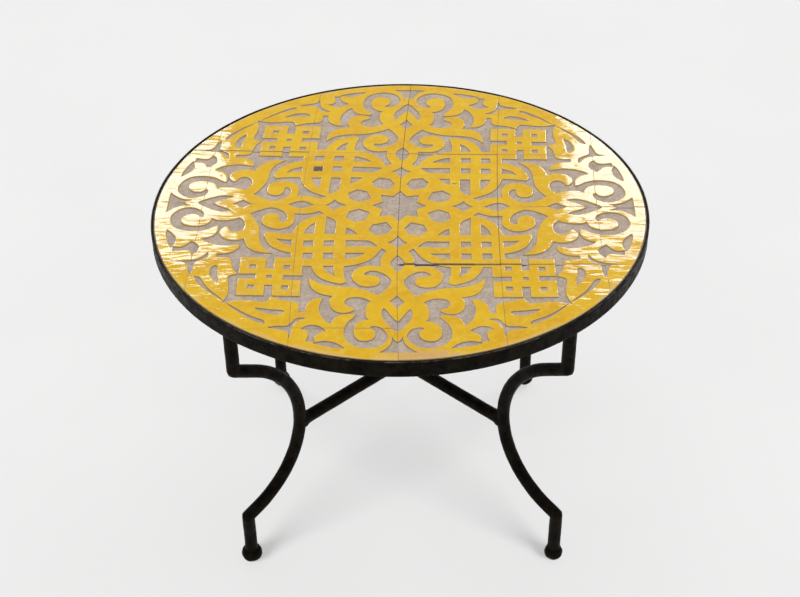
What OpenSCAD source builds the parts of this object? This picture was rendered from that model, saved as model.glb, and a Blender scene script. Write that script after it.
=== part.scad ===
// Round side table: square carved tiles set in an iron-banded top that rests
// loose on a welded base of four bent-rod legs, ball feet and an X stretcher.
// Millimetres, +Z up, origin on the floor under the middle of the rim band.
// X and Y run along the rows of tiles, and the front of the table is -Y.

/* [Tabletop] */
// Outside diameter of the rim band
top_d = 600; // [480:10:720]
// Height of the tiled face above the floor
top_h = 427.5; // [400:0.5:520]
// Height of the rim band
band_h = 20; // [18:1:32]
// Thickness of the rim band
band_t = 3; // [2:0.5:5]
// Width of the grout between the outer tiles and the rim band
grout_w = 1.5; // [1:0.5:4]
// Spacing of the tiles from seam to seam
tile_pitch = 120; // [100:5:150]
// Open seam between neighbouring tiles
tile_gap = 0.8; // [0.4:0.1:2]
// Thickness of a tile
tile_t = 10; // [8:0.5:12]
// Width of the flat bars under the mortar bed
bar_w = 25; // [15:1:40]
// Thickness of the flat bars under the mortar bed
bar_t = 3; // [2:0.5:5]

/* [Base] */
// Diameter of the round rod of the legs and the stretcher
rod_d = 16; // [12:1:20]
// Distance of the upright ends of a front leg from the table's axis
leg_r = 264.5; // [250:0.5:270]
// How much nearer to the table's axis the rear legs stand
rear_in = 20; // [0:0.5:24]
// Compass angle of the legs from the X axis
leg_angle = 42.8; // [40:0.1:50]
// Small turn of the welded base under the loose top
base_turn = 1.2; // [-5:0.1:5]
// Centreline radius of the big curve of a leg
curve_r = 119.5; // [110:0.5:125]
// Height of the middle of the big curve
curve_z = 194.3; // [185:0.1:205]
// Distance of a front leg's innermost point from the table's axis
waist_r = 173; // [165:0.5:180]
// Slope of the shoulder above the big curve
shoulder_slope = 30; // [26:0.5:34]
// Slope of the calf below the big curve
calf_slope = 21; // [18:0.5:24]
// Height of the stretcher's centreline
stretcher_z = 181.5; // [170:0.5:210]
// Diameter of a ball foot
foot_d = 25; // [20:1:30]
// Depth ground off the bottom of a ball foot
foot_flat = 0.5; // [0.2:0.1:1]
// Width of the flat support ring under the top
ring_w = 25; // [16:1:30]
// How far in front of the table's axis the support ring's middle is
ring_front = 14.4; // [0:0.1:18]
// Thickness of the support ring
ring_t = 4; // [3:0.5:6]
// Clearance between the support ring and the loose top
seat_gap = 0.4; // [0.3:0.1:1]

/* [Hidden] */
$fn = 96;

// tabletop levels and radii
band_r = top_d / 2;
bed_r = band_r - band_t;
field_r = bed_r - grout_w;
band_z = top_h - band_h;
tile_z = top_h - tile_t;
bed_z = band_z + bar_t;
grout_drop = 1;

// the bend is a hair thicker than the straight rods that run into its ends
lap = 1.5;
lap_step = 0.03;
corner_swell = 0.3;
weld_gap = 0.2;

// leg centreline in its own plane: x is the distance from the table's axis
rod_r = rod_d / 2;
curve_x = waist_r + curve_r;
shoulder_p = curve_point(90 + shoulder_slope);
calf_p = curve_point(270 - calf_slope);
elbow_z = shoulder_p[1] + (leg_r - shoulder_p[0]) * tan(shoulder_slope);
ankle_z = calf_p[1] - (leg_r - calf_p[0]) * tan(calf_slope);
ring_top = band_z - seat_gap;
leg_top = ring_top - ring_t;
foot_r = foot_d / 2;
foot_z = foot_r - foot_flat;
leg_bottom = foot_z + sqrt(foot_r * foot_r - rod_r * rod_r);

// centreline radius of the support ring, which all four legs stand under
ring_r = leg_r - rear_in / 2 + 0.2;

// compass angle of each leg
angle_rr = leg_angle + base_turn;
angle_rl = 180 - leg_angle + base_turn;
angle_fl = 180 + leg_angle + base_turn;
angle_fr = -leg_angle + base_turn;

// height angle of the waist where the stretcher meets the big curve
stretcher_r = curve_x - sqrt(pow(curve_r, 2) - pow(stretcher_z - curve_z, 2));

function curve_point(a) = [curve_x + curve_r * cos(a), curve_z + curve_r * sin(a)];

// ---- tabletop ----

// one tile of the grid, cut round where it meets the rim
module tile(column, row) {
    color("goldenrod")
    translate([0, 0, tile_z])
    intersection() {
        translate([(column - 4) * tile_pitch + tile_gap / 2,
                   (3 - row) * tile_pitch + tile_gap / 2, 0])
            cube([tile_pitch - tile_gap, tile_pitch - tile_gap, tile_t]);
        cylinder(r = field_r, h = tile_t, $fn = 240);
    }
}

// ring of grout that fills the edge between the cut tiles and the rim band
module perimeter_grout() {
    color("tan")
    translate([0, 0, tile_z])
    difference() {
        cylinder(r = bed_r, h = tile_t - grout_drop, $fn = 240);
        translate([0, 0, -1])
            cylinder(r = field_r, h = tile_t + 2, $fn = 240);
    }
}

// mortar that the tiles are bedded in, cast on the flat bars
module mortar_bed() {
    color("lightgray")
    translate([0, 0, bed_z])
        cylinder(r = bed_r, h = tile_z - bed_z, $fn = 240);
}

// flat bar rolled on edge into a hoop, with its top edges eased
module rim_band() {
    ease = 0.5;
    color("#1c1a18")
    rotate_extrude($fn = 240)
        polygon([
            [bed_r, band_z], [band_r - ease, band_z], [band_r, band_z + ease],
            [band_r, top_h - ease], [band_r - ease, top_h], [bed_r, top_h]
        ]);
}

// bar across the whole top
module cross_bar_long() {
    color("#1c1a18")
    translate([0, 0, band_z])
    intersection() {
        translate([-top_d, -bar_w / 2, 0])
            cube([2 * top_d, bar_w, bar_t]);
        cylinder(r = bed_r, h = bar_t, $fn = 240);
    }
}

// bar from the long bar's edge to the rim band
module cross_bar_half(side) {
    color("#1c1a18")
    translate([0, 0, band_z])
    intersection() {
        translate([-bar_w / 2, side > 0 ? bar_w / 2 : -top_d, 0])
            cube([bar_w, top_d - bar_w / 2, bar_t]);
        cylinder(r = bed_r, h = bar_t, $fn = 240);
    }
}

// ---- base ----

// flat hoop welded on top of the legs: the top rests on it
module support_ring() {
    color("#1c1a18")
    translate([0, -ring_front, leg_top])
    difference() {
        cylinder(r = ring_r + ring_w / 2, h = ring_t, $fn = 240);
        translate([0, 0, -1])
            cylinder(r = ring_r - ring_w / 2, h = ring_t + 2, $fn = 240);
    }
}

// bend of the rod in the leg's plane, about [cx, cz], from angle a to angle b
module bend(cx, cz, radius, a, b, tube) {
    translate([cx, 0, cz])
    rotate([90, 0, 0])
    rotate([0, 0, a])
    rotate_extrude(angle = b - a, $fn = 96)
        translate([radius, 0])
            circle(r = tube, $fn = 48);
}

// straight rod in the leg's plane between two points
module rod(p, q) {
    run = q - p;
    translate([p[0], 0, p[1]])
    rotate([0, atan2(run[0], run[1]), 0])
        cylinder(r = rod_r, h = norm(run), $fn = 48);
}

// welded corner of the rod, filed round
module corner(p) {
    translate([p[0], 0, p[1]])
        sphere(r = rod_r + corner_swell, $fn = 48);
}

// whole bent leg in the XZ plane
module bent_leg() {
    up = [cos(shoulder_slope), sin(shoulder_slope)];
    down = [cos(calf_slope), -sin(calf_slope)];
    color("#1c1a18")
    union() {
        rod([leg_r, elbow_z], [leg_r, leg_top]);
        corner([leg_r, elbow_z]);
        rod(shoulder_p - lap * up, [leg_r, elbow_z]);
        bend(curve_x, curve_z, curve_r, 90 + shoulder_slope, 270 - calf_slope, rod_r + lap_step);
        rod(calf_p - lap * down, [leg_r, ankle_z]);
        corner([leg_r, ankle_z]);
        rod([leg_r, leg_bottom], [leg_r, ankle_z]);
    }
}

module leg(angle, inward = 0) {
    rotate([0, 0, angle])
    translate([-inward, 0, 0])
        bent_leg();
}

// clearance left for the weld round a leg where the stretcher meets it
module waist_cope(angle, inward = 0) {
    rotate([0, 0, angle])
    translate([-inward, 0, 0])
        bend(curve_x, curve_z, curve_r, 165, 205, rod_r + weld_gap);
}

// horizontal rod at the height of the stretcher, along a compass angle
module level_rod(angle, from, to, radius) {
    rotate([0, 0, angle])
    translate([from, 0, stretcher_z])
    rotate([0, 90, 0])
        cylinder(r = radius, h = to - from, $fn = 48);
}

// straight rod from the front left leg to the rear right leg
module stretcher_long() {
    color("#1c1a18")
    difference() {
        level_rod(angle_rr, -stretcher_r, stretcher_r - rear_in, rod_r);
        waist_cope(angle_rr, rear_in);
        waist_cope(angle_fl);
    }
}

// short rod from the long one out to a leg, coped at both ends
module stretcher_half(angle, inward = 0) {
    color("#1c1a18")
    difference() {
        level_rod(angle, 0, stretcher_r - inward, rod_r);
        level_rod(angle_rr, -stretcher_r, stretcher_r, rod_r + weld_gap);
        waist_cope(angle, inward);
    }
}

// ball foot, flat where it meets the leg and ground flat on the floor
module foot(angle, inward = 0) {
    color("#1c1a18")
    rotate([0, 0, angle])
    translate([leg_r - inward, 0, 0])
    intersection() {
        translate([0, 0, foot_z])
            sphere(r = foot_r, $fn = 64);
        cylinder(r = foot_d, h = leg_bottom);
    }
}

tile(2, 1);  // tile_a2
tile(3, 1);  // tile_a3
tile(4, 1);  // tile_a4
tile(5, 1);  // tile_a5
tile(1, 2);  // tile_b1
tile(2, 2);  // tile_b2
tile(3, 2);  // tile_b3
tile(4, 2);  // tile_b4
tile(5, 2);  // tile_b5
tile(6, 2);  // tile_b6
tile(1, 3);  // tile_c1
tile(2, 3);  // tile_c2
tile(3, 3);  // tile_c3
tile(4, 3);  // tile_c4
tile(5, 3);  // tile_c5
tile(6, 3);  // tile_c6
tile(1, 4);  // tile_d1
tile(2, 4);  // tile_d2
tile(3, 4);  // tile_d3
tile(4, 4);  // tile_d4
tile(5, 4);  // tile_d5
tile(6, 4);  // tile_d6
tile(1, 5);  // tile_e1
tile(2, 5);  // tile_e2
tile(3, 5);  // tile_e3
tile(4, 5);  // tile_e4
tile(5, 5);  // tile_e5
tile(6, 5);  // tile_e6
tile(2, 6);  // tile_f2
tile(3, 6);  // tile_f3
tile(4, 6);  // tile_f4
tile(5, 6);  // tile_f5
perimeter_grout();
mortar_bed();
rim_band();
cross_bar_long();
cross_bar_half(-1);  // cross_bar_front
cross_bar_half(1);  // cross_bar_rear
support_ring();
leg(angle_fl);  // leg_front_left
leg(angle_fr);  // leg_front_right
leg(angle_rl, rear_in);  // leg_rear_left
leg(angle_rr, rear_in);  // leg_rear_right
stretcher_long();
stretcher_half(angle_fr);  // stretcher_front
stretcher_half(angle_rl, rear_in);  // stretcher_rear
foot(angle_fl);  // foot_front_left
foot(angle_fr);  // foot_front_right
foot(angle_rl, rear_in);  // foot_rear_left
foot(angle_rr, rear_in);  // foot_rear_right
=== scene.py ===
"""Round side table: carved glazed tiles in an iron band on a bent-rod base.

Metres, +Z up, origin on the floor under the middle of the rim band, X and Y
along the rows of tiles, front of the table towards -Y.
"""
import math

import bpy
import numpy as np
from mathutils import Matrix, Vector, noise
from mathutils.geometry import delaunay_2d_cdt
from mathutils.kdtree import KDTree


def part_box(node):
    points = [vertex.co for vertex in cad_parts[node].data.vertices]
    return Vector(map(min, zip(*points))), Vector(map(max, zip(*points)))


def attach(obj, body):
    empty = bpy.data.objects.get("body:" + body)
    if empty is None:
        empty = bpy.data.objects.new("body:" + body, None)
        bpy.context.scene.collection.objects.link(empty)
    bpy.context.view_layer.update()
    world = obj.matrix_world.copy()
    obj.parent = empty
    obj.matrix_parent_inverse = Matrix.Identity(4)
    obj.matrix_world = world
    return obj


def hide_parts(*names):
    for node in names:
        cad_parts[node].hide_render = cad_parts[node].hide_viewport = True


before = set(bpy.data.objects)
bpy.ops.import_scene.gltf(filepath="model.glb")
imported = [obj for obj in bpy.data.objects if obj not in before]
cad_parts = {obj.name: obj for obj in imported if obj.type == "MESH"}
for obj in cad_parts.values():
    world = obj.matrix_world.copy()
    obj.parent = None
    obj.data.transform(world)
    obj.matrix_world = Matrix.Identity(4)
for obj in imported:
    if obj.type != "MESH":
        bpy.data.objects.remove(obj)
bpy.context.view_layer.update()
noise.seed_set(11)                    # vector noise follows the clock without it
MM = 0.001


def new_object(name, data):
    made = bpy.data.objects.new(name, data)
    bpy.context.scene.collection.objects.link(made)
    return made


def cos_sin(degrees):
    return math.cos(math.radians(degrees)), math.sin(math.radians(degrees))


# ---------------------------------------------------------------- camera

def add_camera():
    """Looks down on the table from the front, as the photograph does."""
    camera = bpy.data.cameras.new("camera")
    camera.lens = 65.26
    camera.sensor_width = 36.0
    camera.dof.use_dof = False
    rig = new_object("camera", camera)
    eye = Vector((0.0455, -1.4692, 1.4021))
    aim = Vector((0.0048, -0.190, 0.4285))
    turn = (aim - eye).to_track_quat("-Z", "Y").to_matrix()
    turn = turn @ Matrix.Rotation(math.radians(-0.71), 3, "Z")
    rig.matrix_world = Matrix.Translation(eye) @ turn.to_4x4()
    bpy.context.scene.camera = rig


# ------------------------------------------------- the carved ornament
# Outlines are in tile widths from the middle of the top, for one eighth of
# it (x below y); a third value of 1 marks a sharp point. "eighth" shapes are
# mirrored to all eight sectors, "diagonal" ones (their own mirror image) to
# the four corners, and "axis" ones are half shapes closed across the axis.

GROUND, GLAZE = 0, 1


def box(x0, y0, x1, y1):
    return [(x0, y0, 1), (x1, y0, 1), (x1, y1, 1), (x0, y1, 1)]


def star(points, outer, inner):
    turn = math.pi / points
    return [((inner if k % 2 else outer) * math.cos(k * turn),
             (inner if k % 2 else outer) * math.sin(k * turn), 1)
            for k in range(2 * points)]


# wedge beside the eye, field round the scroll and the long arched line
SCROLL_FIELD = [
    (0.312, 1.187), (0.27, 1.188), (0.22, 1.197), (0.183, 1.22), (0.165, 1.265),
    (0.17, 1.31), (0.20, 1.35), (0.25, 1.367), (0.31, 1.37), (0.36, 1.352),
    (0.40, 1.31), (0.43, 1.255), (0.44, 1.20), (0.43, 1.145), (0.40, 1.095),
    (0.35, 1.055), (0.29, 1.038), (0.165, 1.045, 1), (0.165, 0.96),
    (0.147, 0.875), (0.108, 0.80, 1), (0.155, 0.75, 1), (0.195, 0.83),
    (0.24, 0.905), (0.30, 0.965), (0.38, 1.01), (0.515, 1.05, 1),
    (0.515, 1.13), (0.503, 1.22), (0.485, 1.30, 1), (0.54, 1.328),
    (0.60, 1.313), (0.66, 1.29), (0.72, 1.25), (0.765, 1.20), (0.80, 1.14),
    (0.832, 1.045, 1), (0.87, 1.045, 1), (0.87, 1.21, 1), (0.84, 1.225),
    (0.80, 1.275), (0.74, 1.322), (0.68, 1.35), (0.60, 1.367), (0.50, 1.375),
    (0.40, 1.39), (0.32, 1.418), (0.25, 1.452), (0.18, 1.50, 1),
    (0.145, 1.46), (0.105, 1.40), (0.075, 1.34), (0.062, 1.28),
    (0.085, 1.22), (0.13, 1.165), (0.19, 1.128), (0.24, 1.118),
    (0.285, 1.133), (0.315, 1.162)]

# strip beside the knot and the band over it, to the corner of the knot's field
KNOT_FIELD = [
    (0.915, 1.045, 1), (0.832, 1.045, 1), (0.83, 1.15), (0.842, 1.25),
    (0.835, 1.33), (0.81, 1.40), (0.77, 1.455), (0.71, 1.495),
    (0.61, 1.525, 1), (0.655, 1.565, 1), (0.70, 1.555, 1), (0.75, 1.556),
    (0.80, 1.58), (0.835, 1.62), (0.855, 1.67), (0.865, 1.765, 1),
    (0.92, 1.765, 1), (0.922, 1.67), (0.945, 1.622), (1.00, 1.603),
    (1.08, 1.59), (1.14, 1.565), (1.195, 1.53, 1), (1.21, 1.585),
    (1.235, 1.617, 1), (1.30, 1.618), (1.37, 1.604), (1.49, 1.597),
    (1.635, 1.635, 1), (1.45, 1.45, 1), (0.95, 1.45, 1)]

# field round the upper hook and the big C scroll
HOOK_FIELD = [
    (0.61, 1.525, 1), (0.633, 1.57), (0.638, 1.63), (0.62, 1.70),
    (0.575, 1.758), (0.51, 1.782), (0.45, 1.768), (0.405, 1.733, 1),
    (0.415, 1.702), (0.455, 1.685), (0.49, 1.645), (0.492, 1.60),
    (0.465, 1.56), (0.41, 1.54), (0.35, 1.54), (0.29, 1.565),
    (0.25, 1.60, 1), (0.28, 1.65), (0.296, 1.72), (0.30, 1.79),
    (0.29, 1.85), (0.265, 1.878, 1), (0.33, 1.893), (0.375, 1.93),
    (0.40, 1.98), (0.41, 2.04), (0.405, 2.10), (0.385, 2.15),
    (0.345, 2.182), (0.29, 2.187), (0.24, 2.165), (0.207, 2.12),
    (0.20, 2.07), (0.213, 2.03), (0.25, 1.998), (0.245, 1.98),
    (0.20, 1.975), (0.155, 1.995), (0.12, 2.035), (0.095, 2.09),
    (0.093, 2.15), (0.12, 2.21), (0.17, 2.26), (0.235, 2.287),
    (0.30, 2.29), (0.375, 2.27), (0.435, 2.23), (0.475, 2.175),
    (0.495, 2.11), (0.497, 2.04), (0.485, 1.97), (0.455, 1.905),
    (0.415, 1.855), (0.388, 1.80, 1), (0.44, 1.795), (0.50, 1.803),
    (0.55, 1.825), (0.59, 1.865), (0.622, 1.945, 1), (0.665, 1.905),
    (0.70, 1.84), (0.722, 1.77), (0.73, 1.70), (0.72, 1.63),
    (0.70, 1.555, 1), (0.67, 1.535, 1)]

ORNAMENT = [
    ("once", GROUND, star(8, 0.28, 0.19)),
    ("eighth", GROUND, [  # petals round the star
        (0.125, 0.295, 1), (0.26, 0.340, 1), (0.293, 0.44, 1),
        (0.222, 0.527, 1), (0.112, 0.503, 1), (0.062, 0.405, 1)]),
    ("axis", GROUND, [  # pointed lozenge
        (0, 0.745, 1), (0.04, 0.695), (0.10, 0.655, 1), (0.05, 0.613),
        (0.02, 0.57), (0, 0.53, 1)]),
    ("axis", GROUND, [  # eye
        (0, 0.862, 1), (0.035, 0.91), (0.063, 0.97), (0.062, 1.03),
        (0.04, 1.075), (0, 1.125, 1)]),
    ("axis", GROUND, [  # second lozenge
        (0, 1.70, 1), (0.03, 1.65), (0.068, 1.595, 1), (0.035, 1.55),
        (0, 1.50, 1)]),
    ("axis", GROUND, [  # pointed arch of two slits
        (0, 2.05, 1), (0.035, 2.02), (0.065, 1.975), (0.105, 1.905),
        (0.137, 1.83), (0.142, 1.76), (0.125, 1.702, 1), (0.095, 1.745),
        (0.06, 1.815), (0.025, 1.87), (0, 1.90, 1)]),
    ("axis", GROUND, [  # bell at the rim
        (0, 2.355, 1), (0.175, 2.352, 1), (0.115, 2.30), (0.075, 2.245),
        (0.055, 2.19), (0.05, 2.12, 1), (0.03, 2.17), (0, 2.20, 1)]),
    ("eighth", GROUND, [  # cells of the crossed bars
        (0.317, 0.83, 1), (0.365, 0.872), (0.43, 0.908), (0.507, 0.927, 1),
        (0.507, 0.83, 1)]),
    ("eighth", GROUND, [
        (0.20, 0.722, 1), (0.507, 0.722, 1), (0.507, 0.622, 1),
        (0.305, 0.622, 1), (0.25, 0.653)]),
    ("eighth", GROUND, box(0.625, 0.83, 0.72, 0.925)),
    ("diagonal", GROUND, box(0.83, 0.83, 0.922, 0.922)),
    ("diagonal", GROUND, box(0.625, 0.625, 0.72, 0.72)),
    ("diagonal", GROUND, [
        (0.40, 0.515, 1), (0.515, 0.515, 1), (0.515, 0.40, 1),
        (0.475, 0.425), (0.425, 0.475)]),
    ("eighth", GROUND, [
        (0.617, 1.045, 1), (0.718, 1.045, 1), (0.695, 1.10),
        (0.655, 1.16), (0.598, 1.20, 1), (0.615, 1.14)]),
    ("eighth", GROUND, SCROLL_FIELD),
    ("eighth", GROUND, KNOT_FIELD),
    ("eighth", GROUND, HOOK_FIELD),
    ("diagonal", GLAZE, box(0.915, 0.915, 1.525, 1.525)),
    ("eighth", GROUND, box(0.90, 1.20, 1.095, 1.273)),
    ("eighth", GROUND, box(1.187, 1.36, 1.262, 1.54)),
    ("diagonal", GROUND, box(1.037, 1.037, 1.10, 1.10)),
    ("diagonal", GROUND, box(1.362, 1.362, 1.422, 1.422)),
    ("diagonal", GROUND, box(1.205, 1.205, 1.255, 1.255)),
    ("eighth", GROUND, box(1.037, 1.362, 1.10, 1.422)),
    ("eighth", GROUND, [  # slit over the C scroll
        (0.485, 2.295, 1), (0.56, 2.29), (0.65, 2.268), (0.72, 2.245),
        (0.78, 2.215, 1), (0.71, 2.195), (0.65, 2.192), (0.58, 2.213),
        (0.525, 2.255)]),
    ("eighth", GROUND, [  # small palmette
        (0.757, 2.20, 1), (0.838, 2.19, 1), (0.823, 2.13), (0.82, 2.07),
        (0.845, 2.03), (0.888, 2.012, 1), (0.855, 1.978), (0.81, 1.96),
        (0.755, 1.962), (0.71, 1.99), (0.665, 2.04, 1), (0.735, 2.085),
        (0.767, 2.14)]),
    ("eighth", GROUND, [  # three-pointed slit
        (0.992, 2.13, 1), (1.008, 2.06), (1.05, 2.03), (1.12, 2.008),
        (1.205, 1.98, 1), (1.12, 1.966), (1.02, 1.962), (0.98, 1.92),
        (0.95, 1.872), (0.915, 1.85), (0.845, 1.855, 1), (0.90, 1.885),
        (0.947, 1.93), (0.973, 1.99), (0.982, 2.06)]),
    ("eighth", GROUND, [  # leaf-shaped eye
        (1.055, 1.763), (1.095, 1.797), (1.15, 1.805), (1.22, 1.79),
        (1.285, 1.755), (1.335, 1.71, 1), (1.27, 1.716), (1.20, 1.73),
        (1.12, 1.737), (1.07, 1.742)]),
    ("eighth", GROUND, [  # border slit
        (1.225, 1.935, 1), (1.30, 1.908), (1.38, 1.852), (1.46, 1.785),
        (1.54, 1.703), (1.61, 1.622, 1), (1.53, 1.692), (1.44, 1.77),
        (1.36, 1.823), (1.28, 1.865), (1.24, 1.892)]),
]


def heading(a, b):
    return (b - a) / max(np.linalg.norm(b - a), 1e-9)


def smooth_outline(points, step):
    """Closed outline through the points: round at plain ones, sharp at marked."""
    n = len(points)
    xy = np.array([p[:2] for p in points], float)
    sharp = [len(p) > 2 for p in points]
    out = []
    for i in range(n):
        j = (i + 1) % n
        a, b = xy[i], xy[j]
        run = np.linalg.norm(b - a)
        va = b - a if sharp[i] else heading(xy[i - 1], b) * run
        vb = b - a if sharp[j] else heading(a, xy[(j + 1) % n]) * run
        if sharp[i] and not sharp[j]:
            va = 1.5 * (b - a) - 0.5 * vb
        if sharp[j] and not sharp[i]:
            vb = 1.5 * (b - a) - 0.5 * va
        count = max(1, math.ceil(run / step))
        t = (np.arange(count) / count)[:, None]
        out.append((2 * t**3 - 3 * t**2 + 1) * a + (t**3 - 2 * t**2 + t) * va
                   + (3 * t**2 - 2 * t**3) * b + (t**3 - t**2) * vb)
    return np.concatenate(out)


def close_half(points):
    """Whole outline of a half shape given from axis to axis at x >= 0."""
    mirrored = [(-p[0],) + tuple(p[1:]) for p in reversed(points) if p[0] > 0]
    return list(points) + mirrored


def hand_wander(xy):
    """The small drift of a freehand line, in tile widths."""
    out = np.empty_like(xy)
    for k, (x, y) in enumerate(xy):
        slow = noise.noise_vector(Vector((x * 1.7, y * 1.7, 4.2)))
        quick = noise.noise_vector(Vector((x * 9.0, y * 9.0, 8.5)))
        out[k] = (x + 0.010 * slow.x + 0.0030 * quick.x,
                  y + 0.010 * slow.y + 0.0030 * quick.y)
    return out


def ornament_outlines(step):
    """[(polarity, N x 2 outline in tile widths)] over the whole top, in order."""
    swap = np.array([[0, 1], [1, 0]])
    outlines = []
    for kind, polarity, points in ORNAMENT:
        if kind == "axis":
            points = close_half(points)
        base = smooth_outline(points, step)
        copies = [base]
        if kind != "once":
            quarter = np.array([[0, -1], [1, 0]])
            turns = [np.linalg.matrix_power(quarter, k) for k in range(4)]
            copies = [base @ t.T for t in turns]
            if kind == "eighth":
                copies += [base @ swap @ t.T for t in turns]
        outlines += [(polarity, hand_wander(c)) for c in copies]
    return outlines


def inside(outline, points):
    """Even-odd test of many points against one outline."""
    low, high = outline.min(0), outline.max(0)
    near = np.where(((points > low) & (points < high)).all(1))[0]
    hit = np.zeros(len(points), bool)
    if len(near) == 0:
        return hit
    x, y = points[near, 0][:, None], points[near, 1][:, None]
    x0, y0 = outline[:, 0], outline[:, 1]
    x1, y1 = np.roll(x0, -1), np.roll(y0, -1)
    spans = (y0 > y) != (y1 > y)
    rise = np.where(y1 == y0, 1.0, y1 - y0)
    crossing = x0 + (y - y0) * (x1 - x0) / rise
    hit[near] = (spans & (x < crossing)).sum(1) % 2 == 1
    return hit


# ------------------------------------------------------ tile geometry

low_d4, high_d4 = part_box("tile_d4")
band_low, band_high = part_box("rim_band")
BED_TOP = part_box("mortar_bed")[1][2]
PITCH = high_d4[0] - low_d4[0] + 2 * abs(low_d4[0])  # a tile and its seam
TIGHT = 0.10 * MM                     # half of a seam where two tiles touch
# open seams: across x or y, which one, from and to in tile widths, half width
OPEN_SEAMS = [
    ("y", -1, 0.02, 0.75, 1.45 * MM), ("y", -1, 0.75, 1.25, 1.00 * MM),
    ("y", -1, 1.25, 2.3, 0.36 * MM), ("y", 1, -2.3, -1.0, 0.60 * MM),
    ("y", 1, 0.02, 1.0, 0.52 * MM), ("x", 0, -1.0, 2.6, 0.24 * MM),
    ("y", 0, -2.6, -1.0, 0.30 * MM), ("y", 0, 1.3, 2.6, 0.52 * MM),
    ("x", 1, -1.0, 1.0, 0.22 * MM)]
FIELD_R = -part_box("tile_d1")[0][0]    # radius that the tiles are cut to
TOP_Z = band_high[2]
TILE_LOW = low_d4[2]
CARVED = 1.6 * MM                     # depth of the chiselled ground
ROWS = "abcdef"
OUTLINE_STEP = 0.014                  # between points of an outline, tile widths
RIM_STEPS = 400                       # straight steps round the rim circle


def tile_names():
    names = {}
    for r, letter in enumerate(ROWS):
        for c in range(1, 7):
            name = f"tile_{letter}{c}"
            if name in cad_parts:
                names[(c - 4, 2 - r)] = name
    return names


def spread(rings, index, gap):
    """Points of rings that are at least gap from every indexed point."""
    return [p for p in rings if index.find((p[0], p[1], 0))[2] > gap]


def index_of(points):
    tree = KDTree(len(points))
    for k, p in enumerate(points):
        tree.insert((p[0], p[1], 0), k)
    tree.balance()
    return tree


def plan_of_top():
    """Triangles of the whole face, cut along seams, rim and ornament.

    Returns points (metres), triangles, whether each is glaze, the tile cell
    of each, and every point's distance from the nearest carved edge."""
    outlines = ornament_outlines(OUTLINE_STEP)
    points, edges = [], []

    def add_loop(xy, closed=True):
        first = len(points)
        points.extend(map(tuple, xy))
        n = len(xy)
        last = n if closed else n - 1
        edges.extend((first + k, first + (k + 1) % n) for k in range(last))

    for _, outline in outlines:
        add_loop(outline * PITCH)
    carved = index_of(points)
    arc = np.linspace(0, 2 * math.pi, RIM_STEPS, endpoint=False)
    add_loop(FIELD_R * np.stack([np.cos(arc), np.sin(arc)], 1))
    reach = FIELD_R * 1.02
    for k in range(-2, 3):
        along = np.linspace(-reach, reach, 280)
        fixed = np.full_like(along, k * PITCH)
        add_loop(np.stack([fixed, along], 1), False)
        add_loop(np.stack([along, fixed], 1), False)
    firm = index_of(points)
    # loose rows of points beside every carved edge, then a loose grid
    rows = []
    for _, outline in outlines:
        p = outline * PITCH
        along = np.roll(p, -1, 0) - np.roll(p, 1, 0)
        side = np.stack([along[:, 1], -along[:, 0]], 1)
        side /= np.maximum(np.linalg.norm(side, axis=1), 1e-9)[:, None]
        for offset in (1.1 * MM, -1.1 * MM):
            rows += spread(p + side * offset, firm, 0.8 * MM)
        for offset in (2.6 * MM, -2.6 * MM):
            rows += spread((p + side * offset)[::2], firm, 2.2 * MM)
    pitch = 4.5 * MM
    count = int(FIELD_R / pitch) + 1
    grid = [((i + 0.5 * (j % 2)) * pitch, j * pitch * 0.87)
            for i in range(-count, count + 1) for j in range(-count - 9, count + 10)]
    rows += spread(grid, firm, 3.4 * MM)
    rows = [p for p in rows if math.hypot(*p) < FIELD_R - 0.6 * MM]
    points = [Vector(p) for p in points + rows]
    flat = delaunay_2d_cdt(points, edges, [], 0, 2e-6)
    xy = np.array([tuple(v) for v in flat[0]])
    faces = np.array(flat[2])
    centre = xy[faces].mean(1)
    keep = np.hypot(*centre.T) < FIELD_R * math.cos(math.pi / RIM_STEPS)
    faces, centre = faces[keep], centre[keep]
    glaze = np.ones(len(faces), bool)
    for polarity, outline in outlines:
        glaze[inside(outline, centre / PITCH)] = polarity == GLAZE
    cell = np.floor(centre / PITCH).astype(int)
    away = np.array([carved.find((x, y, 0))[2] for x, y in xy])
    return xy, faces, glaze, cell, away


def rim_edges(faces):
    """Directed edges that belong to one triangle only, interior on the left."""
    sides = np.concatenate([faces[:, [0, 1]], faces[:, [1, 2]], faces[:, [2, 0]]])
    big = int(faces.max()) + 1
    keys = sides[:, 0] * big + sides[:, 1]
    twins = sides[:, 1] * big + sides[:, 0]
    return sides[~np.isin(keys, twins)]


def outward(xy, edges):
    """Unit-width mitred outward direction at every vertex of the edges."""
    out = np.zeros((len(xy), 2))
    run = xy[edges[:, 1]] - xy[edges[:, 0]]
    run /= np.maximum(np.linalg.norm(run, axis=1), 1e-9)[:, None]
    normal = np.stack([run[:, 1], -run[:, 0]], 1)
    for end in (0, 1):
        np.add.at(out, edges[:, end], normal)
    size = np.linalg.norm(out, axis=1)
    full = np.maximum(size, 1e-9)[:, None]
    # two unit normals add up to 2 cos(half turn): widen the mitre, but not much
    return out / full * np.minimum(2.0 / np.maximum(full, 1e-9), 1.6) * (size > 0.2)[:, None]


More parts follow.
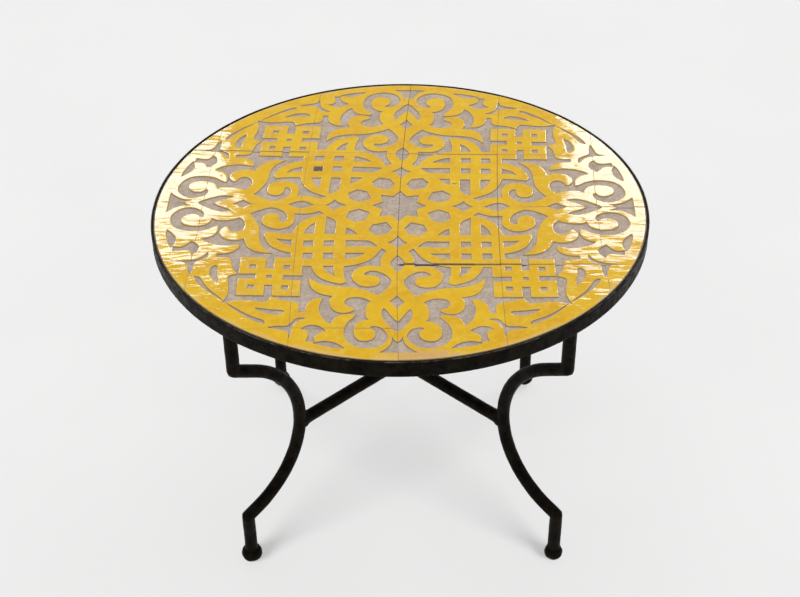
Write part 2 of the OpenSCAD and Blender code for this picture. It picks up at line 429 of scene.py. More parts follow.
def laid(points):
    """Where the hand-laid tiles really lie: up to 7 mm off the true grid, by
    a smooth bend over the whole top, and never past the rim circle."""
    x, y = points[:, 0] / PITCH, points[:, 1] / PITCH
    # the bend seen in the photograph: mm, for x and y in tile widths
    off = np.stack([-0.9 - 0.5 * x + 0.5 * y + 1.05 * x * y + 1.3 * y * y,
                    -2.6 - 1.1 * x + 0.15 * y - 1.0 * x * y + 0.5 * x * x + 0.3 * y * y], 1)
    moved = points + off * MM
    before, after = np.linalg.norm(points, axis=1), np.linalg.norm(moved, axis=1)
    # over the outer 16 % every point comes to keep its own radius
    held = np.clip((before / FIELD_R - 0.84) / 0.16, 0, 1)
    held = held * held * (3 - 2 * held)
    radius = np.minimum(after + (before - after) * held, FIELD_R)
    return moved * (radius / np.maximum(after, 1e-9))[:, None]


def half_seam(across, line, along):
    """Half the width of a seam at distances along it."""
    half = np.full(len(along), TIGHT)
    for side, number, start, end, width in OPEN_SEAMS:
        if side == across and number == line:
            inside_it = (along > start * PITCH) & (along < end * PITCH)
            half[inside_it] = width
    return half


def seam_inset(xy, cell):
    """Moves points on the tile's straight sides in to the seam."""
    out = xy.copy()
    for axis, across in enumerate("xy"):
        along = xy[:, 1 - axis]
        low = cell[axis] * PITCH + half_seam(across, cell[axis], along)
        high = (cell[axis] + 1) * PITCH - half_seam(across, cell[axis] + 1, along)
        out[:, axis] = np.clip(xy[:, axis], low, high)
    return out


def swell(x, y, tile):
    """Height of the uneven glazed face over its true level, in metres."""
    level, tip_x, tip_y, cx, cy = tile
    broad = noise.noise(Vector((x * 22, y * 22, 1.3)))
    ripple = noise.noise(Vector((x * 75, y * 75, 6.1)))
    return (level + tip_x * (x - cx) + tip_y * (y - cy)
            + 0.16 * MM * broad + 0.035 * MM * ripple)


# tiles bedded clearly lower than the rest
SUNK = {"tile_e4": -0.95 * MM, "tile_e5": -0.5 * MM, "tile_c4": -0.45 * MM,
        "tile_c2": -0.5 * MM, "tile_c1": -0.4 * MM, "tile_d6": -0.5 * MM}


def build_tile(name, cell, plan, materials, random):
    xy, faces, glaze, cells, away = plan
    mine = (cells == cell).all(1)
    cx, cy = (np.array(cell) + 0.5) * PITCH
    level, tip_x, tip_y = random.uniform(-1, 1, 3)
    tile = (SUNK.get(name, 0.15 * MM * level), 0.0022 * tip_x, 0.0022 * tip_y, cx, cy)
    verts, tris, mats, dist, normals = [], [], [], [], []

    def add(points, z, away_mm, normal):
        first = len(verts)
        verts.extend((p[0], p[1], h) for p, h in zip(laid(np.array(points)), z))
        dist.extend(away_mm)
        normals.extend(normal)
        return first

    def lift(points):
        return np.array([swell(p[0], p[1], tile) for p in points])

    def plate(part, rows, material, side_material, base):
        """A sheet of triangles with a wall let down round its edge.

        rows: (how far in, drop, normal's lean) from the sheet's edge down."""
        if len(part) == 0:
            return
        used, local = np.unique(part, return_inverse=True)
        local = local.reshape(part.shape)
        flat = seam_inset(xy[used], cell)
        edge = rim_edges(local)
        push = outward(xy[used], edge)
        on_edge = np.zeros(len(used), bool)
        on_edge[edge.ravel()] = True
        height = base + lift(flat)
        d = away[used] / MM
        # the seams and the rim are cut squarer than the carving
        cut = np.where(d < 0.05, 1.0, 0.45)[:, None]
        inset, drop, _ = rows[0]
        top = seam_inset(flat - push * inset * cut, cell)
        first = add(top, height - drop * on_edge, d, [(0, 0, 1)] * len(used))
        tris.extend((first + local).tolist())
        mats.extend([material] * len(local))
        above = {int(v): first + int(v) for v in np.unique(edge)}
        ring = np.unique(edge)
        away_dir = push / np.maximum(np.linalg.norm(push, axis=1), 1e-9)[:, None]
        for inset, drop, lean in rows[1:]:
            spot = seam_inset(flat[ring] - (push * inset * cut)[ring], cell)
            tilt = [(a[0] * lean, a[1] * lean, math.sqrt(1 - lean * lean))
                    for a in away_dir[ring]]
            first = add(spot, height[ring] - drop, [0.0] * len(ring), tilt)
            below = {int(v): first + k for k, v in enumerate(ring)}
            for a, b in edge:
                a, b = int(a), int(b)
                tris.extend([[above[a], below[a], below[b]],
                             [above[a], below[b], above[b]]])
                mats.extend([side_material] * 2)
            above = below

    sheet = faces[mine & glaze]
    ground = faces[mine & ~glaze]
    plate(sheet, [(0.42 * MM, 0.05 * MM, 0), (0.15 * MM, 0.16 * MM, 0.5),
                  (0.0, 0.42 * MM, 0.85), (-0.25 * MM, CARVED + 0.5 * MM, 0.97)],
          0, 1, TOP_Z)
    plate(ground, [(-0.6 * MM, 0.0, 0), (-0.6 * MM, 0.8 * MM, 0.9)],
          2, 2, TOP_Z - CARVED)
    # body of the tile under the carving: a closed prism down to the bed
    whole = faces[mine]
    ring = rim_edges(whole)
    order, following = [], {int(a): int(b) for a, b in ring}
    at = int(ring[0][0])
    while at not in order[:1]:
        order.append(at)
        at = following[at]
    outline = seam_inset(xy[order], cell)
    n = len(order)
    body_top = TOP_Z - CARVED - 0.6 * MM
    far = [9.0] * n                   # mm from any carved edge: no edge tone
    upper = add(outline, np.full(n, body_top), far, [(0, 0, 1)] * n)
    lower = add(outline, np.full(n, TILE_LOW), far, [(0, 0, -1)] * n)
    polygons = [list(t) for t in tris]
    polygons.append(list(range(upper, upper + n)))
    polygons.append(list(range(lower + n - 1, lower - 1, -1)))
    mats.extend([2, 2])
    for k in range(n):
        polygons.append([upper + k, lower + k, lower + (k + 1) % n, upper + (k + 1) % n])
        mats.append(2)
    mesh = bpy.data.meshes.new(name)
    mesh.from_pydata(verts, [], polygons)
    for material in materials:
        mesh.materials.append(material)
    mesh.polygons.foreach_set("material_index", mats)
    smooth = np.zeros(len(polygons), bool)
    smooth[:len(tris)] = True
    mesh.polygons.foreach_set("use_smooth", smooth)
    mesh.attributes.new("edge_mm", "FLOAT", "POINT").data.foreach_set("value", dist)
    tint = random.uniform(0, 1)
    mesh.attributes.new("tint", "FLOAT", "POINT").data.foreach_set(
        "value", [tint] * len(verts))
    mesh.update()
    set_normals(mesh, np.array(normals))
    piece = new_object("carved_" + name, mesh)
    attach(piece, "top")
    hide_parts(name)


def set_normals(mesh, given):
    """Face tops keep the real slope of the surface; walls lean as given."""
    count = len(mesh.vertices)
    normal = np.zeros((count, 3))
    flat = np.zeros(count * 3)
    mesh.vertices.foreach_get("co", flat)
    co = flat.reshape(-1, 3)
    size = np.zeros(count)
    tri = np.array([p.vertices[:] for p in mesh.polygons if len(p.vertices) == 3])
    cross = np.cross(co[tri[:, 1]] - co[tri[:, 0]], co[tri[:, 2]] - co[tri[:, 0]])
    facing = cross[:, 2] / np.maximum(np.linalg.norm(cross, axis=1), 1e-15)
    level = facing > 0.8
    for k in range(3):
        np.add.at(normal, tri[level, k], cross[level])
        np.add.at(size, tri[level, k], 1)
    upright = (given[:, 2] > 0.999) & (size > 0)
    out = given.copy()
    real = normal[upright]
    out[upright] = real / np.maximum(np.linalg.norm(real, axis=1), 1e-15)[:, None]
    mesh.normals_split_custom_set_from_vertices(out.tolist())


# ---------------------------------------------------------- materials

class Nodes:
    """Short way to build a procedural material."""

    def __init__(self, name, rough, specular=0.5):
        self.material = bpy.data.materials.new(name)
        self.material.use_nodes = True
        self.tree = self.material.node_tree
        self.shader = self.tree.nodes["Principled BSDF"]
        self.shader.inputs["Roughness"].default_value = rough
        self.shader.inputs["Specular IOR Level"].default_value = specular
        self.where = self.add("TexCoord").outputs["Object"]

    def add(self, kind):
        return self.tree.nodes.new("ShaderNode" + kind)

    def plug(self, value, socket):
        if isinstance(value, bpy.types.NodeSocket):
            self.tree.links.new(value, socket)
        else:
            socket.default_value = value

    def noise(self, scale, detail=3.0, rough=0.55, distort=0.0, where=None):
        node = self.add("TexNoise")
        node.inputs["Scale"].default_value = scale
        node.inputs["Detail"].default_value = detail
        node.inputs["Roughness"].default_value = rough
        node.inputs["Distortion"].default_value = distort
        self.plug(where or self.where, node.inputs["Vector"])
        return node.outputs["Fac"]

    def cells(self, scale):
        node = self.add("TexVoronoi")
        node.inputs["Scale"].default_value = scale
        self.plug(self.where, node.inputs["Vector"])
        return node.outputs["Distance"]

    def math(self, how, a, b=0.0):
        node = self.add("Math")
        node.operation = how
        self.plug(a, node.inputs[0])
        self.plug(b, node.inputs[1])
        return node.outputs[0]

    def ramp(self, value, low, high, out_low=0.0, out_high=1.0):
        node = self.add("MapRange")
        node.interpolation_type = "SMOOTHSTEP"
        self.plug(value, node.inputs["Value"])
        for key, number in (("From Min", low), ("From Max", high),
                            ("To Min", out_low), ("To Max", out_high)):
            self.plug(number, node.inputs[key])
        return node.outputs[0]

    def mix(self, amount, a, b):
        node = self.add("Mix")
        node.data_type = "RGBA"
        self.plug(amount, node.inputs["Factor"])
        for key, value in ((6, a), (7, b)):
            if isinstance(value, tuple):
                value = value + (1.0,)
            self.plug(value, node.inputs[key])
        return node.outputs[2]

    def place(self):
        """Distance from the table's axis, and height."""
        split = self.add("SeparateXYZ")
        self.plug(self.where, split.inputs[0])
        x, y, z = split.outputs
        return self.math("SQRT", self.math("ADD", self.math("MULTIPLY", x, x),
                                           self.math("MULTIPLY", y, y))), z

    def stretched(self, along_x):
        node = self.add("Mapping")
        node.inputs["Scale"].default_value = (along_x, 1, 1)
        self.plug(self.where, node.inputs["Vector"])
        return node.outputs[0]

    def spot(self, centre, strength, half_x, half_y, ragged):
        """Ragged oval mask; the centre and half sizes are in tile widths."""
        node = self.add("Mapping")
        node.vector_type = "POINT"
        size = (1 / (half_x * PITCH), 1 / (half_y * PITCH), 0)
        node.inputs["Scale"].default_value = size
        node.inputs["Location"].default_value = (
            -centre[0] * PITCH * size[0], -centre[1] * PITCH * size[1], 0)
        self.plug(self.where, node.inputs["Vector"])
        far = self.add("VectorMath")
        far.operation = "LENGTH"
        self.plug(node.outputs[0], far.inputs[0])
        shaky = self.math("ADD", far.outputs["Value"],
                          self.ramp(self.noise(ragged, 4, 0.65), 0.3, 0.7, -0.4, 0.5))
        return self.ramp(shaky, 0.75, 1.05, strength, 0.0)

    def attribute(self, name):
        node = self.add("Attribute")
        node.attribute_name = name
        return node.outputs["Fac"]

    def bump(self, height, strength, distance):
        node = self.add("Bump")
        node.inputs["Strength"].default_value = strength
        node.inputs["Distance"].default_value = distance
        self.plug(height, node.inputs["Height"])
        self.plug(node.outputs["Normal"], self.shader.inputs["Normal"])

    def finish(self, colour, rough=None):
        self.plug(colour, self.shader.inputs["Base Color"])
        if rough is not None:
            self.plug(rough, self.shader.inputs["Roughness"])
        return self.material


def glaze_material():
    m = Nodes("golden_glaze", 0.08)
    m.shader.inputs["IOR"].default_value = 1.37
    golden, amber, lemon = (0.69, 0.42, 0.001), (0.61, 0.325, 0.001), (0.73, 0.49, 0.010)
    cloud = m.ramp(m.noise(26, 4, 0.6, 0.4), 0.35, 0.75)
    colour = m.mix(cloud, golden, amber)
    colour = m.mix(m.ramp(m.noise(60, 3), 0.50, 0.72, 0.0, 0.55), colour, lemon)
    colour = m.mix(m.ramp(m.attribute("tint"), 0.0, 1.0, 0.0, 0.35), colour, amber)
    haze = m.math("MULTIPLY", m.ramp(m.noise(140, 4, 0.75), 0.42, 0.78),
                  m.ramp(m.noise(12, 3), 0.3, 0.65, 0.35, 1.0))
    colour = m.mix(haze, colour, (0.71, 0.48, 0.060))
    # the glaze runs thin and pale over the cut edges and along the rim
    edge = m.attribute("edge_mm")
    ragged = m.math("ADD", edge, m.ramp(m.noise(240, 2), 0.3, 0.7, -0.5, 0.5))
    colour = m.mix(m.ramp(ragged, 0.1, 1.4, 0.55, 0.0), colour, (0.62, 0.45, 0.17))
    radius, _ = m.place()
    rim = m.math("ADD", radius, m.ramp(m.noise(45, 4), 0.3, 0.7, -0.004, 0.004))
    rim = m.ramp(rim, FIELD_R - 5 * MM, FIELD_R, 0.0, 0.42)
    colour = m.mix(rim, colour, (0.66, 0.45, 0.19))
    # where it has worn off: one patch at the front, a nick, scattered pinholes
    worn = m.spot((0.26, -2.39), 0.55, 0.38, 0.085, 160)
    colour = m.mix(worn, colour, (0.54, 0.34, 0.20))
    nick = m.spot((0.55, 0.395), 1.0, 0.035, 0.010, 300)
    pits = m.ramp(m.cells(95), 0.035, 0.06, 1.0, 0.0)
    pits = m.math("MULTIPLY", pits, m.ramp(m.noise(9, 1), 0.58, 0.66))
    colour = m.mix(m.math("MAXIMUM", pits, nick), colour, (0.16, 0.09, 0.05))
    brushed = m.stretched(0.30)
    ripple = m.math("ADD", m.noise(90, 2, 0.5, 0.6, brushed),
                    m.math("MULTIPLY", m.noise(26, 1), 1.7))
    m.bump(ripple, 0.5, 0.0008)
    return m.finish(colour, m.ramp(m.noise(70, 3), 0.3, 0.75, 0.04, 0.10))


def cut_edge_material():
    m = Nodes("cut_glaze_edge", 0.5)
    tone = m.ramp(m.noise(300, 3), 0.3, 0.7)
    colour = m.mix(tone, (0.44, 0.30, 0.085), (0.34, 0.24, 0.13))
    m.bump(m.noise(700, 3), 0.5, 0.0004)
    return m.finish(colour)


def clay_material():
    m = Nodes("chiselled_clay", 0.9, 0.2)
    tone = m.ramp(m.noise(55, 4, 0.65), 0.3, 0.72)
    colour = m.mix(tone, (0.41, 0.333, 0.272), (0.56, 0.455, 0.37))
    grain = m.ramp(m.noise(330, 5, 0.8), 0.42, 0.66)
    colour = m.mix(m.math("MULTIPLY", grain, 0.62), colour, (0.235, 0.187, 0.155))
    # painted shade: the clay ground is darkened within 1.2 mm of a carved edge, at the foot of
    # the walls
    near = m.ramp(m.attribute("edge_mm"), 0.0, 1.2, 0.15, 0.0)
    colour = m.mix(near, colour, (0.19, 0.14, 0.105))
    stain = m.spot((-0.885, 0.69), 0.85, 0.075, 0.075, 200)
    colour = m.mix(stain, colour, (0.085, 0.052, 0.05))
    marks = m.math("ADD", m.noise(260, 4, 0.7, 1.5), m.math("MULTIPLY", m.noise(1200, 2), 0.5))
    m.bump(marks, 0.9, 0.0009)
    return m.finish(colour)


def iron_material(name, pale_top_edge=None):
    m = Nodes(name, 0.4, 0.035)
    tone = m.ramp(m.noise(75, 5, 0.7), 0.34, 0.68)
    colour = m.mix(tone, (0.0022, 0.0014, 0.0006), (0.0115, 0.0088, 0.0050))
    rust = m.ramp(m.noise(60, 5, 0.65, 0.6), 0.54, 0.70)
    colour = m.mix(m.math("MULTIPLY", rust, 0.6), colour, (0.020, 0.0098, 0.0048))
    scuff = m.ramp(m.noise(420, 3, 0.7), 0.66, 0.80)
    colour = m.mix(m.math("MULTIPLY", scuff, 0.4), colour, (0.035, 0.031, 0.027))
    # the band is lighter in a broken line round its upper outer edge
    if pale_top_edge is not None:
        edge_radius, edge_height = pale_top_edge
        radius, height = m.place()
        level = m.ramp(height, edge_height - 0.9 * MM, edge_height - 0.3 * MM)
        outer = m.ramp(radius, edge_radius - 1.4 * MM, edge_radius - 0.6 * MM)
        broken = m.ramp(m.noise(55, 5, 0.7), 0.44, 0.66, 0.05, 0.75)
        line = m.math("MULTIPLY", m.math("MULTIPLY", level, outer), broken)
        colour = m.mix(line, colour, (0.14, 0.12, 0.10))
    pitted = m.math("ADD", m.noise(230, 4, 0.62), m.math("MULTIPLY", m.noise(900, 3), 0.35))
    m.bump(pitted, 0.75, 0.0009)
    return m.finish(colour, m.ramp(m.noise(120, 4), 0.3, 0.75, 0.30, 0.58))


def rough_material(name, dark, light, scale, depth):
    m = Nodes(name, 0.92)
    colour = m.mix(m.ramp(m.noise(scale, 5, 0.65), 0.3, 0.7), dark, light)
    speck = m.ramp(m.noise(scale * 9, 2, 0.7), 0.62, 0.75, 0.0, 0.5)
    colour = m.mix(speck, colour, tuple(0.55 * c for c in dark))
    m.bump(m.noise(scale * 6, 5, 0.7), 0.8, depth)
    return m.finish(colour)


# ---------------------------------------------------------- metalwork

# centreline of a leg, as in part.scad: distance from the axis and height
ROD_R = 8.0 * MM
LEG_R = 264.5 * MM
CURVE_R, CURVE_Z, WAIST_R = 119.5 * MM, 194.3 * MM, 173.0 * MM
SHOULDER, CALF = math.radians(30), math.radians(21)
STRETCHER_Z = 181.5 * MM
LEG_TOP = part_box("support_ring")[0][2]
LEG_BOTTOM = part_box("foot_front_left")[1][2]
BASE_TURN, LEG_ANGLE = 1.2, 42.8
REAR_IN = 20 * MM                     # the rear legs stand nearer the axis
LEG_DEG = {"rear_right": LEG_ANGLE + BASE_TURN,
           "rear_left": 180 - LEG_ANGLE + BASE_TURN,
           "front_left": 180 + LEG_ANGLE + BASE_TURN,
           "front_right": -LEG_ANGLE + BASE_TURN}
CURVE_X = WAIST_R + CURVE_R
STRETCHER_R = CURVE_X - math.sqrt(CURVE_R**2 - (STRETCHER_Z - CURVE_Z)**2)
BALL_R = 12.5 * MM


def leg_line():
    """Points down the middle of a front leg in (r, z), and its two corners."""
    shoulder = (CURVE_X + CURVE_R * math.cos(math.pi / 2 + SHOULDER),
                CURVE_Z + CURVE_R * math.sin(math.pi / 2 + SHOULDER))
    calf = (CURVE_X + CURVE_R * math.cos(1.5 * math.pi - CALF),
            CURVE_Z + CURVE_R * math.sin(1.5 * math.pi - CALF))
    elbow = (LEG_R, shoulder[1] + (LEG_R - shoulder[0]) * math.tan(SHOULDER))
    ankle = (LEG_R, calf[1] - (LEG_R - calf[0]) * math.tan(CALF))
    steps = np.array([0.8, 1.6, 2.4, 3.3, 4.4, 6.0, 8.0]) * MM

    def arm(corner, far):
        """Points from a corner out along a straight arm, nearest first."""
        run = math.dist(corner, far)
        along = [d for d in np.append(steps, np.arange(0.011, run, 0.003)) if d < run]
        return [(corner[0] + (far[0] - corner[0]) * d / run,
                 corner[1] + (far[1] - corner[1]) * d / run) for d in along]

    top, bottom = (LEG_R, LEG_TOP), (LEG_R, LEG_BOTTOM - 0.002)
    line = [top] + arm(elbow, top)[::-1] + [elbow]
    first = len(line) - 1
    line += arm(elbow, shoulder)
    sweep = np.linspace(math.pi / 2 + SHOULDER, 1.5 * math.pi - CALF, 80)
    line += [(CURVE_X + CURVE_R * math.cos(a), CURVE_Z + CURVE_R * math.sin(a))
             for a in sweep]
    line += arm(ankle, calf)[::-1] + [ankle]
    second = len(line) - 1
    return line + arm(ankle, bottom) + [bottom], (first, second)


def tube(line, radius, seed, corners=None):
    """Round rod along a line of points.

    radius: a function of the distance along the line and of the direction
    out of the rod. corners: {index of a sharp corner: radius of its outside}."""
    sides, mitre_reach = 32, 20 * MM
    line = [Vector(p) for p in line]
    verts, faces = [], []
    travelled = 0.0
    last = len(line) - 1
    side = (line[1] - line[0]).orthogonal().normalized()
    mitres = {}
    for c, rounding in (corners or {}).items():
        before = (line[c] - line[c - 1]).normalized()
        after = (line[c + 1] - line[c]).normalized()
        turn = before.angle(after)
        mitres[c] = (before, after, (before + after).normalized(),
                     (after - before).normalized(), rounding,
                     rounding * math.tan(turn / 2))
    for k, p in enumerate(line):
        before = (p - line[k - 1]).normalized() if k else (line[1] - p).normalized()
        after = (line[k + 1] - p).normalized() if k < last else before
        if k:
            travelled += (p - line[k - 1]).length
        axis = (before + after).normalized()
        side = (side - axis * side.dot(axis)).normalized()
        across = axis.cross(side)
        bend = after - before
        stretch = 1.0 / max(before.dot(axis), 0.5)
        for s in range(sides):
            a = 2 * math.pi * s / sides
            d = side * math.cos(a) + across * math.sin(a)
            reach = radius(travelled, d)
            spot = p + d * reach
            # forged skin: slow waves and a fine grain
            wobble = noise.noise(Vector((spot.x * 55 + seed, spot.y * 55, spot.z * 55)))
            fine = noise.noise(Vector((spot.x * 160, spot.y * 160 + seed, spot.z * 160)))
            d = d * (reach + 0.22 * MM * wobble + 0.07 * MM * fine)
            if k in mitres:
                inner = bend.normalized()
                d += inner * d.dot(inner) * (stretch - 1.0)
            spot = p + d
            for c, (arm_in, arm_out, plane, inner, rounding, tangent) in mitres.items():
                if (p - line[c]).length > mitre_reach:
                    continue
                # neither arm passes through the mitre, and its outside is filed
                arm = arm_in if k <= c else arm_out
                past = (spot - line[c]).dot(plane) / arm.dot(plane)
                if (k < c and past > 0) or (k > c and past < 0):
                    spot -= arm * past
                    past = 0.0
                outside = max(0.0, -(spot - line[c]).dot(inner) / ROD_R)
                if abs(past) < tangent:
                    short = tangent - abs(past)
                    cut = rounding - math.sqrt(rounding**2 - short**2)
                    spot += inner * cut * min(outside, 1.0)**2
            verts.append(spot)
        if k:
            base = (k - 1) * sides
            for s in range(sides):
                t = (s + 1) % sides
                faces.append([base + t, base + sides + t, base + sides + s, base + s])
    faces.append(list(range(sides)))
    faces.append(list(range(last * sides, (last + 1) * sides))[::-1])
    return verts, faces


def add_piece(name, verts, faces, material, body, slot, nodes):
    mesh = bpy.data.meshes.new(name)
    mesh.from_pydata([tuple(v) for v in verts], [], faces)
    mesh.materials.append(material)
    mesh.polygons.foreach_set("use_smooth", [len(f) <= 4 for f in faces])
    mesh.update()
    piece = new_object(name, mesh)
    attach(piece, body)
    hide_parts(*nodes)


def lathe(profile, count, wander, seed):
    """Closed ring turned from a closed profile of (radius, height)."""
    verts, faces = [], []
    n = len(profile)
    for k in range(count):
        a = 2 * math.pi * k / count
        c, s = math.cos(a), math.sin(a)
        for r, z in profile:
            drift = noise.noise(Vector((c * 9 + seed, s * 9, z * 60)))
            fine = noise.noise(Vector((c * r * 90, s * r * 90 + seed, z * 90)))
            reach = r + wander * (drift + 0.35 * fine)
            verts.append((reach * c, reach * s, z + 0.4 * wander * fine))
    for k in range(count):
        base, ahead = k * n, ((k + 1) % count) * n
        for j in range(n):
            i = (j + 1) % n
            faces.append([base + j, ahead + j, ahead + i, base + i])
    return verts, faces


def plain_rod(length):
    """Rod with a small bead of weld where it meets the ring and the ball."""
    def radius(d, _):
        bead = math.exp(-max(d, 0) / (2 * MM)) + 0.5 * math.exp(-max(length - d, 0) / (2 * MM))
        return ROD_R + 2.0 * MM * bead
    return radius


def welded_rod(start, end):
    """Rod that runs into another at either end, with a fillet of weld there.

    start, end: (distance along the line of the other rod's middle, its
    direction)."""
    def radius(d, out):
        size = ROD_R
        for place, direction in (start, end):
            # the other rod is round too: its surface falls away to the sides
            aside = abs(out.cross(direction).dot(out.cross(direction)))**0.5
            skin = math.sqrt(max(0.0, 1 - min(aside, 1.0)**2)) * ROD_R
            gap = max(0.0, abs(d - place) - skin)
            size += 3.2 * MM * math.exp(-gap / (3.2 * MM)) * abs(out.dot(direction))**1.5
        return size
    return radius


def add_metalwork(iron, band_iron):
    r0, r1 = FIELD_R + 1.5 * MM, band_high[0]
    z0, z1 = band_low[2], band_high[2]
    bevel = 0.7 * MM
    part = 0.3 * bevel
    profile = [(r0, z0), (r1 - bevel, z0), (r1 - part, z0 + part), (r1, z0 + bevel)]
    profile += [(r1, z) for z in np.linspace(z0 + 4 * MM, z1 - 4 * MM, 5)]
    profile += [(r1, z1 - bevel), (r1 - part, z1 - part), (r1 - bevel, z1),
                (r0 + 0.4 * bevel, z1), (r0, z1 - 0.4 * bevel)]
    band = lathe(profile, 720, 0.16 * MM, 3.0)
    add_piece("rim_band_iron", *band, band_iron, "top", "band_iron", ["rim_band"])
    line, (elbow, ankle) = leg_line()
    length = sum(math.dist(a, b) for a, b in zip(line, line[1:]))
    for k, (name, degrees) in enumerate(LEG_DEG.items()):
        c, s = cos_sin(degrees)
        step_in = REAR_IN if "rear" in name else 0.0
        path = [((r - step_in) * c, (r - step_in) * s, z) for r, z in line]
        filed = {elbow: 6.5 * MM, ankle: (5.0 if "right" in name else 3.0) * MM}
        rod = tube(path, plain_rod(length), seed=7.0 * k, corners=filed)
        add_piece("forged_leg_" + name, *rod, iron, "base", "forged_iron", ["leg_" + name])
        add_foot(name, iron, k)
    add_stretcher(iron)


def add_foot(name, iron, seed):
    """Hammered ball, a little flattened, no two quite the same size."""
    low, high = (Vector(v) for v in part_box("foot_" + name))
    middle = (low + high) / 2
    full = {"front_left": 1.05, "front_right": 0.93}.get(name, 0.98)
    r = BALL_R * full
    centre_z = 0.90 * r
    verts, faces = [], []
    rings, sides = 34, 48
    lowest, highest = math.asin(-0.975), 1.13     # latitudes of the end rings
    for i in range(rings):
        t = lowest + (highest - lowest) * i / (rings - 1)
        for j in range(sides):
            a = 2 * math.pi * j / sides
            d = Vector((math.cos(a) * math.cos(t), math.sin(a) * math.cos(t), math.sin(t)))
            bulge = noise.noise(d * 2.1 + Vector((seed * 3.1, 0, 0)))
            # shallow hollow hammered round the neck
            neck = math.exp(-((t - 0.80) / 0.16)**2)
            reach = r * (1 + 0.035 * bulge - 0.05 * neck)
            z = max(centre_z + 0.93 * d.z * reach, 0.0)
            verts.append((middle.x + d.x * reach, middle.y + d.y * reach, z))
        if i:
            base = (i - 1) * sides
            faces += [[base + j, base + (j + 1) % sides,
                       base + sides + (j + 1) % sides, base + sides + j]
                      for j in range(sides)]
    faces.append(list(range(sides))[::-1])
    faces.append(list(range((rings - 1) * sides, rings * sides)))
    add_piece("ball_foot_" + name, verts, faces, iron, "base", "forged_iron",
              ["foot_" + name])


def add_stretcher(iron):
    up = Vector((0, 0, 1))

    def add_rod(name, degrees, start, end, other_start):
        """other_start: direction of the rod met at the start."""
        c, s = cos_sin(degrees)
        length = end - start
        # points along the rod, close together at the welds
        marks = sorted(set(np.round(np.append(
            np.arange(0, length, 0.006),
            [e for k in range(25) for e in (k * 0.0008, length - k * 0.0008)]), 6)))
        line = [((start + d) * c, (start + d) * s, STRETCHER_Z) for d in marks]
        weld = welded_rod((0.0, other_start), (length, up))
        rod = tube(line, weld, seed=degrees)
        add_piece("stretcher_rod_" + name, *rod, iron, "base", "forged_iron",
                  ["stretcher_" + name])

    reach = STRETCHER_R - 1.0 * MM
    angle = LEG_DEG["rear_right"]
    through = Vector((*cos_sin(angle), 0))
    add_rod("long", angle, -reach, reach - REAR_IN, up)
    add_rod("front", LEG_DEG["front_right"], 1.0 * MM, reach, through)
    add_rod("rear", LEG_DEG["rear_left"], 1.0 * MM, reach - REAR_IN, through)


def dress_hidden(iron, mortar, grout):
    """The plain pieces under the top keep their CAD shape."""
    for node, material in (("support_ring", iron), ("cross_bar_long", iron),
                           ("cross_bar_front", iron), ("cross_bar_rear", iron),
                           ("mortar_bed", mortar)):
        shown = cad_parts[node]
        shown.data.materials.clear()
        shown.data.materials.append(material)
    r0, r1 = FIELD_R - 0.3 * MM, FIELD_R + 1.6 * MM
    z0, z1 = BED_TOP, TOP_Z - 0.9 * MM
    mid = (r0 + r1) / 2
    profile = [(r0, z0), (r1, z0), (r1, z1), (mid, z1 - 0.35 * MM), (r0, z1)]
    ring = lathe(profile, 700, 0.18 * MM, 9.0)
    add_piece("perimeter_grout_line", *ring, grout, "top", "grout", ["perimeter_grout"])


# ------------------------------------------------------- floor and light

def add_floor():
    mesh = bpy.data.meshes.new("floor")
    mesh.from_pydata([(-9, -9, 0), (9, -9, 0), (9, 9, 0), (-9, 9, 0)], [], [(0, 1, 2, 3)])
    m = Nodes("pale_floor", 0.8, 0.1)
    tone = m.ramp(m.noise(3, 2), 0.3, 0.7)
    mesh.materials.append(m.finish(m.mix(tone, (0.218, 0.218, 0.217), (0.222, 0.222, 0.221))))
    floor = new_object("floor", mesh)
    return floor


def softbox(name, low, high, aim, radiance, tone):
    """Upright rectangle of light between two corners, or a flat one."""
    low, high = Vector(low), Vector(high)
    size = high - low
    width = math.hypot(size.x, size.y if size.z > 0.01 else 0)
    height = size.z if size.z > 0.01 else size.y
    light = bpy.data.lights.new(name, "AREA")
    light.shape = "RECTANGLE"
    light.size, light.size_y = width, height
    light.energy = radiance * math.pi * width * height
    light.color = tone
    lamp = new_object(name, light)
    lamp.location = (low + high) / 2
    lamp.rotation_euler = Vector(aim).to_track_quat("-Z", "Y").to_euler()
    lamp.visible_camera = False
    return lamp


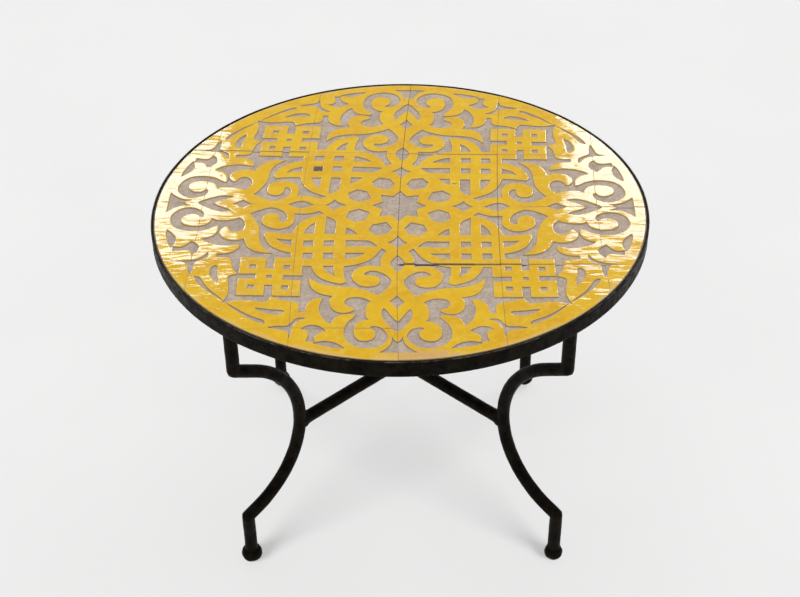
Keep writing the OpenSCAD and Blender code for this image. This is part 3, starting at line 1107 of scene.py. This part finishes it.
def light_table(floor):
    daylight = (0.64, 0.83, 1.0)
    # two windows behind the table, seen only as reflections in the glaze
    for name, left, right, bottom in (("window_left", -1.5, -0.58, 1.62),
                                      ("window_right", 0.43, 1.35, 1.50)):
        pane = softbox(name, (left, 2.2, bottom), (right, 2.2, 2.05), (0, -1, 0), 12.6, daylight)
        pane.visible_diffuse = False
    low, high, down, white = (-1.1, -0.7, 3.2), (1.1, 1.5, 3.2), (0, 0, -1), (1, 1, 1)
    softbox("overhead", low, high, down, 0.9, white)
    # a second one leaves the floor alone
    spared = bpy.data.collections.new("not_the_floor")
    spared.objects.link(floor)
    spared.collection_objects[0].light_linking.link_state = "EXCLUDE"
    top = softbox("overhead_table", low, high, down, 2.6, white)
    top.light_linking.receiver_collection = spared


def light_floor(floor):
    """The floor is lit from low down all round: one soft lamp beyond each leg
    throws that leg's shadow in under the table."""
    lit = bpy.data.collections.new("lit_floor")
    lit.objects.link(floor)
    for name, azimuth, strength in (("front_left", 228, 2.5), ("front_right", 315, 2.5),
                                    ("rear_left", 136, 0.88), ("rear_right", 44, 0.88)):
        sun = bpy.data.lights.new("floor_" + name, "SUN")
        sun.energy = strength * math.pi
        sun.angle = math.radians(32)
        lamp = new_object("floor_" + name, sun)
        c, s = cos_sin(azimuth)
        level, rise = cos_sin(28)     # angle above the floor
        toward = Vector((c * level, s * level, rise))
        lamp.rotation_euler = (-toward).to_track_quat("-Z", "Y").to_euler()
        leg = bpy.data.collections.new("shades_" + name)
        for piece in ("forged_leg_" + name, "ball_foot_" + name):
            leg.objects.link(bpy.data.objects[piece])
        lamp.light_linking.receiver_collection = lit
        lamp.light_linking.blocker_collection = leg


def add_surroundings():
    world = bpy.data.worlds.new("studio")
    bpy.context.scene.world = world
    world.use_nodes = True
    background = world.node_tree.nodes["Background"]
    background.inputs["Color"].default_value = (1, 1, 1, 1)
    background.inputs["Strength"].default_value = 0.60
    bpy.context.scene.view_settings.view_transform = "Standard"


# ---------------------------------------------------------------- build

def main():
    add_camera()
    glaze, cut, clay = glaze_material(), cut_edge_material(), clay_material()
    plan = plan_of_top()
    random = np.random.default_rng(11)
    for cell, name in sorted(tile_names().items()):
        build_tile(name, cell, plan, (glaze, cut, clay), random)
    iron = iron_material("forged_iron")
    add_metalwork(iron, iron_material("band_iron", (band_high[0], TOP_Z)))
    mortar = rough_material("mortar", (0.25, 0.24, 0.22), (0.42, 0.40, 0.37), 60, 0.0015)
    grout = rough_material("grout", (0.10, 0.07, 0.045), (0.27, 0.21, 0.14), 220, 0.0006)
    dress_hidden(iron, mortar, grout)
    floor = add_floor()
    light_table(floor)
    light_floor(floor)
    add_surroundings()


main()
